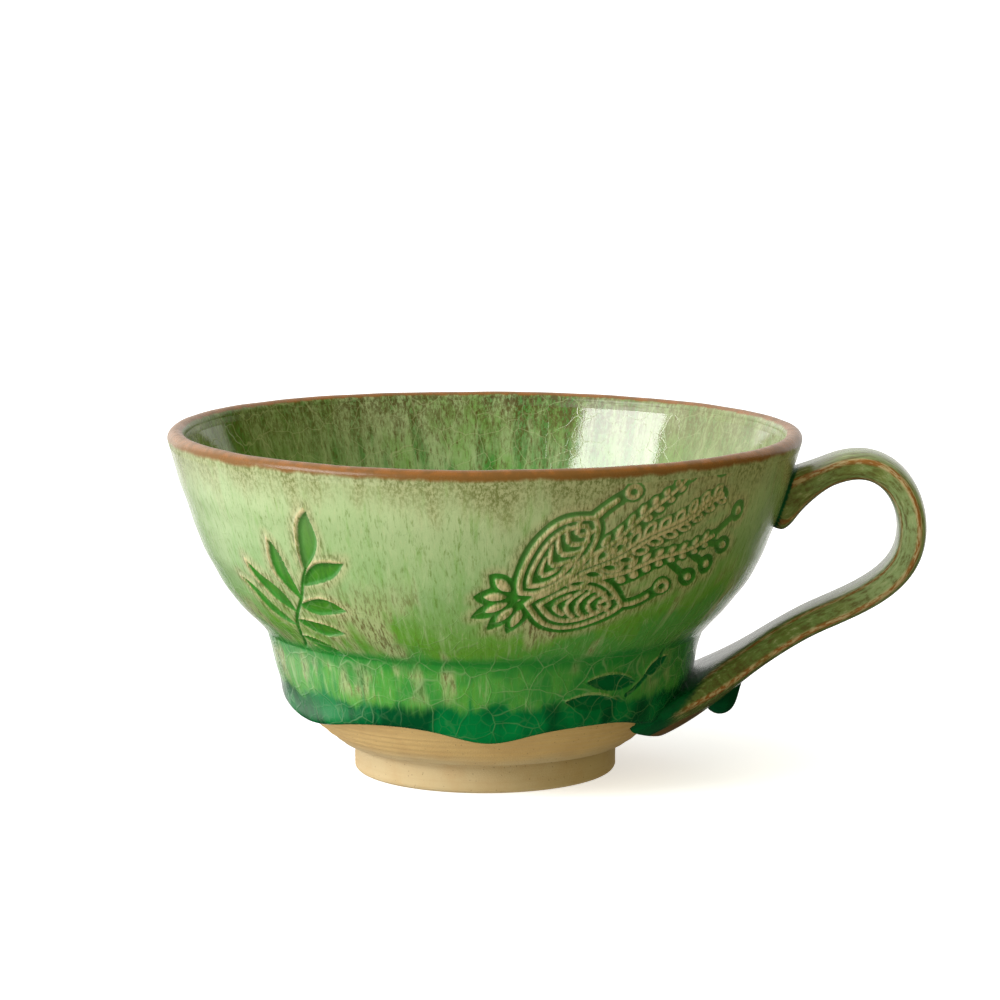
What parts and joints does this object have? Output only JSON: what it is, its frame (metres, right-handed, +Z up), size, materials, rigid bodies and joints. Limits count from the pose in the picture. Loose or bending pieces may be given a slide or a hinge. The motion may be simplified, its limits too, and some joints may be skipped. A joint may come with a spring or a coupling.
{
  "type": "teacup",
  "caption": "Wide flared stoneware teacup on a turned foot ring, with a waist crease, a strap handle, a brown lip and green glaze over bare clay.",
  "frame": {"origin": "centre of the foot ring's bottom face, on the surface the cup stands on", "axes": "+Z up along the bowl's axis, +X towards the handle, +Y across the handle"},
  "size_m": [0.1532, 0.128, 0.0701],
  "materials": {
    "bare_clay": "matt unglazed stoneware",
    "green_glaze": "glossy crackled green glaze",
    "brown_glaze": "glossy iron-brown glaze",
    "olive_glaze": "glossy olive glaze, tan where it thins",
    "pooled_glaze": "glossy deep green pooled glaze"
  },
  "bodies": {
    "root": {"bowl": "bare_clay", "foot_ring": "bare_clay", "handle": "bare_clay", "upper_slip": "bare_clay", "lower_slip": "bare_clay", "outer_glaze": "green_glaze", "inner_glaze": "green_glaze", "rim_band": "brown_glaze", "handle_glaze": "olive_glaze", "glaze_drip": "pooled_glaze"}
  },
  "joints": []
}
